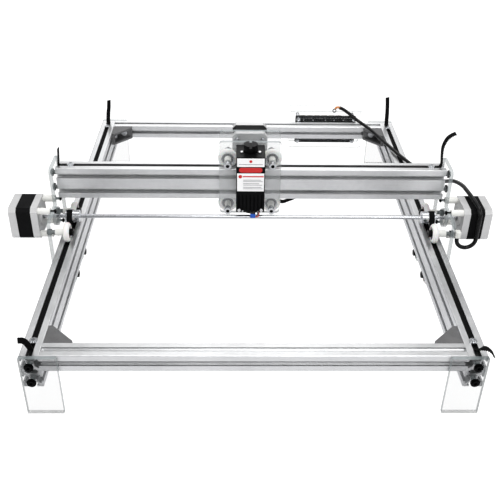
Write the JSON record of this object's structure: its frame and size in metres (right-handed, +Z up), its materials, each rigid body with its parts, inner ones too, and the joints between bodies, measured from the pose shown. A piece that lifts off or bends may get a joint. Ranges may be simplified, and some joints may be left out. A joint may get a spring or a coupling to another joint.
{
  "type": "desktop laser cutter",
  "caption": "Open-frame desktop laser cutter: a gantry on wheels runs along two slotted rails and carries a laser module on a belt-driven carriage.",
  "frame": {"origin": "on the ground under the middle of the machine's box, measured without the cable", "axes": "+X to the machine's right, +Y from front to back along the side rails, +Z up"},
  "size_m": [0.576, 0.5958, 0.1942],
  "materials": {
    "aluminium_profile": "satin anodised",
    "cast_bracket": "die-cast, bead blasted",
    "black_screw": "black oxide",
    "clear_acrylic": "polished, saw-cut edges",
    "drive_belt": "matt, toothed",
    "steel_screw": "zinc plated",
    "circuit_board": "solder mask",
    "board_parts": "moulded",
    "usb_shell": "plated sheet steel",
    "jack_plastic": "moulded",
    "button_plastic": "moulded",
    "motor_stator": "satin black laminations",
    "motor_cap": "die-cast, milled",
    "white_nylon": "moulded",
    "wheel_acetal": "turned",
    "bearing_steel": "ground",
    "shaft_steel": "ground",
    "pulley_aluminium": "turned",
    "laser_black": "black anodised",
    "label_panel": "printed film without text",
    "laser_cap": "moulded",
    "brass_barrel": "turned",
    "blue_plug": "moulded",
    "white_plug": "moulded",
    "cable_jacket": "matt"
  },
  "bodies": {
    "frame": {"left_rail": "aluminium_profile", "right_rail": "aluminium_profile", "front_crossbar": "aluminium_profile", "rear_crossbar": "aluminium_profile", "corner_brackets": "cast_bracket", "frame_screws": "black_screw", "front_legs": "clear_acrylic", "rear_legs": "clear_acrylic", "left_y_belt": "drive_belt", "right_y_belt": "drive_belt", "belt_clamp_screws": "steel_screw", "controller_back_plate": "clear_acrylic", "controller_cover": "clear_acrylic", "controller_board": "circuit_board", "board_components": "board_parts", "usb_port": "usb_shell", "power_jack": "jack_plastic", "board_fasteners": "steel_screw"},
    "reset_key": {"reset_button": "button_plastic"},
    "gantry": {"cross_beam": "aluminium_profile", "left_side_plate": "clear_acrylic", "right_side_plate": "clear_acrylic", "plate_screws": "black_screw", "y_motor_stators": "motor_stator", "y_motor_caps": "motor_cap", "motor_spacers": "white_nylon", "y_axle_bolts": "black_screw", "y_axle_spacers": "white_nylon", "y_wheel_bearings": "bearing_steel", "x_belt": "drive_belt", "y_belt_loops": "drive_belt", "motor_plug": "white_plug", "gantry_cable": "cable_jacket"},
    "front_upper_rollers": {"front_upper_y_wheels": "wheel_acetal"},
    "rear_upper_rollers": {"rear_upper_y_wheels": "wheel_acetal"},
    "front_lower_rollers": {"front_lower_y_wheels": "wheel_acetal"},
    "rear_lower_rollers": {"rear_lower_y_wheels": "wheel_acetal"},
    "y_drive": {"y_drive_shafts": "shaft_steel", "y_pulleys": "pulley_aluminium"},
    "carriage": {"carriage_front_plate": "clear_acrylic", "carriage_rear_plate": "clear_acrylic", "x_axle_bolts": "black_screw", "x_axle_spacers": "white_nylon", "x_wheel_bearings": "bearing_steel", "x_motor_stator": "motor_stator", "x_motor_caps": "motor_cap", "x_belt_loop": "drive_belt", "laser_heat_sink": "laser_black", "laser_label": "label_panel", "laser_top_cap": "laser_cap", "laser_barrel": "brass_barrel", "laser_plug": "blue_plug", "carriage_screws": "steel_screw"},
    "upper_left_roller": {"upper_left_x_wheel": "wheel_acetal"},
    "upper_right_roller": {"upper_right_x_wheel": "wheel_acetal"},
    "lower_left_roller": {"lower_left_x_wheel": "wheel_acetal"},
    "lower_right_roller": {"lower_right_x_wheel": "wheel_acetal"},
    "x_drive": {"x_motor_shaft": "shaft_steel", "x_pulley": "pulley_aluminium"},
    "focus": {"focus_ring": "laser_cap"}
  },
  "joints": [
    {"name": "y_travel", "type": "slide", "parent": "frame", "child": "gantry", "axis": [0, 1, 0], "range_m": [-0.165, 0.245], "deforming": ["gantry_cable"]},
    {"name": "x_travel", "type": "slide", "parent": "gantry", "child": "carriage", "axis": [1, 0, 0], "range_m": [-0.162, 0.166]},
    {"name": "front_upper_roll", "type": "hinge", "parent": "gantry", "child": "front_upper_rollers", "pos_m": [0, -0.08013, 0.08332], "axis": [1, 0, 0], "continuous": true},
    {"name": "rear_upper_roll", "type": "hinge", "parent": "gantry", "child": "rear_upper_rollers", "pos_m": [0, -0.03012, 0.08332], "axis": [1, 0, 0], "continuous": true},
    {"name": "front_lower_roll", "type": "hinge", "parent": "gantry", "child": "front_lower_rollers", "pos_m": [0, -0.08013, 0.02268], "axis": [1, 0, 0], "continuous": true},
    {"name": "rear_lower_roll", "type": "hinge", "parent": "gantry", "child": "rear_lower_rollers", "pos_m": [0, -0.03012, 0.02268], "axis": [1, 0, 0], "continuous": true},
    {"name": "y_drive_spin", "type": "hinge", "parent": "gantry", "child": "y_drive", "pos_m": [0, -0.05513, 0.091], "axis": [1, 0, 0], "continuous": true},
    {"name": "upper_left_roll", "type": "hinge", "parent": "carriage", "child": "upper_left_roller", "pos_m": [-0.0288, -0.03313, 0.15953], "axis": [0, 1, 0], "continuous": true},
    {"name": "upper_right_roll", "type": "hinge", "parent": "carriage", "child": "upper_right_roller", "pos_m": [0.0242, -0.03313, 0.15953], "axis": [0, 1, 0], "continuous": true},
    {"name": "lower_left_roll", "type": "hinge", "parent": "carriage", "child": "lower_left_roller", "pos_m": [-0.0288, -0.03313, 0.09888], "axis": [0, 1, 0], "continuous": true},
    {"name": "lower_right_roll", "type": "hinge", "parent": "carriage", "child": "lower_right_roller", "pos_m": [0.0242, -0.03313, 0.09888], "axis": [0, 1, 0], "continuous": true},
    {"name": "x_drive_spin", "type": "hinge", "parent": "carriage", "child": "x_drive", "pos_m": [-0.0023, -0.03313, 0.162], "axis": [0, 1, 0], "continuous": true},
    {"name": "focus_turn", "type": "hinge", "parent": "carriage", "child": "focus", "pos_m": [-0.0023, -0.06713, 0.109], "axis": [0, 0, 1], "range_deg": [-180, 180]},
    {"name": "reset_press", "type": "slide", "parent": "frame", "child": "reset_key", "axis": [0, -1, 0], "range_m": [0, 0.00025], "stiffness_N_per_m": 4000}
  ],
  "couplings": [
    {"joint": "front_upper_roll", "follows": "y_travel", "rad_per_m": -98.767},
    {"joint": "rear_upper_roll", "follows": "y_travel", "rad_per_m": -98.767},
    {"joint": "front_lower_roll", "follows": "y_travel", "rad_per_m": 98.767},
    {"joint": "rear_lower_roll", "follows": "y_travel", "rad_per_m": 98.767},
    {"joint": "y_drive_spin", "follows": "y_travel", "rad_per_m": 157.08},
    {"joint": "upper_left_roll", "follows": "x_travel", "rad_per_m": 98.767},
    {"joint": "upper_right_roll", "follows": "x_travel", "rad_per_m": 98.767},
    {"joint": "lower_left_roll", "follows": "x_travel", "rad_per_m": -98.767},
    {"joint": "lower_right_roll", "follows": "x_travel", "rad_per_m": -98.767},
    {"joint": "x_drive_spin", "follows": "x_travel", "rad_per_m": -157.08}
  ]
}
